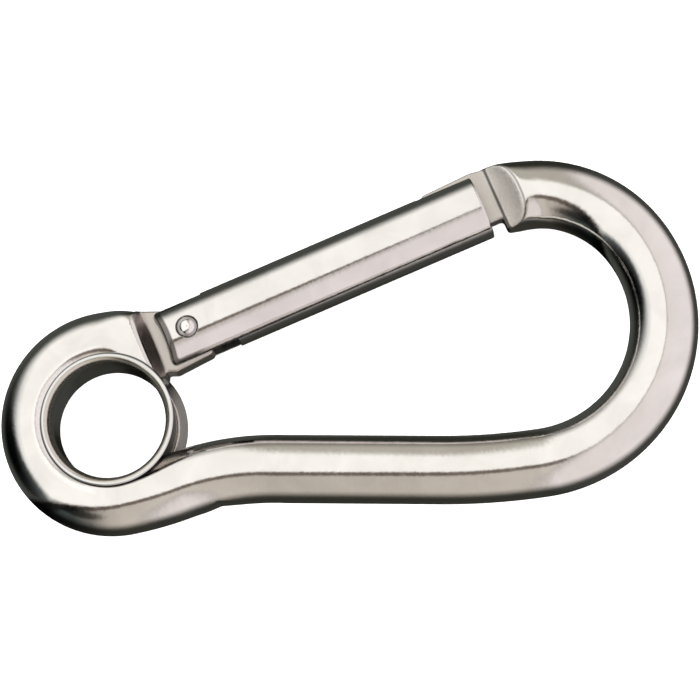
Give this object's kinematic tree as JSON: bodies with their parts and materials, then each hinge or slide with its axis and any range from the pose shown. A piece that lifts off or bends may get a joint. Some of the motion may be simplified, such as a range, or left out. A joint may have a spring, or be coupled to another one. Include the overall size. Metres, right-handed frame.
{
  "type": "eye hook with latch",
  "caption": "Bent-bar snap hook with a flanged eyelet in its eye and a sprung tube latch that swings inward on a rivet.",
  "frame": {"origin": "centre of the eyelet's bore, in the hook's middle plane", "axes": "+Z along the eyelet's bore, +X along the shank from the eye towards the bow, +Y towards the side that the latch is on"},
  "size_m": [0.1001, 0.0551, 0.0104],
  "materials": {
    "hook_steel": "polished stainless",
    "bush_steel": "polished stainless",
    "gate_steel": "polished stainless",
    "rivet_steel": "polished stainless",
    "spring_steel": "oiled spring wire",
    "plunger_steel": "oiled, turned"
  },
  "bodies": {
    "hook": {"hook_body": "hook_steel", "eye_bush": "bush_steel"},
    "gate": {"gate_tube": "gate_steel", "hinge_rivet": "rivet_steel", "gate_spring": "spring_steel", "spring_stop": "plunger_steel"},
    "plunger": {"spring_plunger": "plunger_steel"}
  },
  "joints": [
    {"name": "gate_pivot", "type": "hinge", "parent": "hook", "child": "gate", "pos_m": [0.01102, 0.01361, 0], "axis": [0, 0, -1], "range_deg": [0, 30], "stiffness_Nm_per_rad": 0.1, "springref_deg": -85.94},
    {"name": "plunger_slide", "type": "slide", "parent": "gate", "child": "plunger", "axis": [0.9143, 0.4051, 0], "range_m": [0, 0.0019], "deforming": ["gate_spring"]}
  ],
  "couplings": [
    {"joint": "plunger_slide", "follows": "gate_pivot", "m_per_rad": 0.0035}
  ]
}
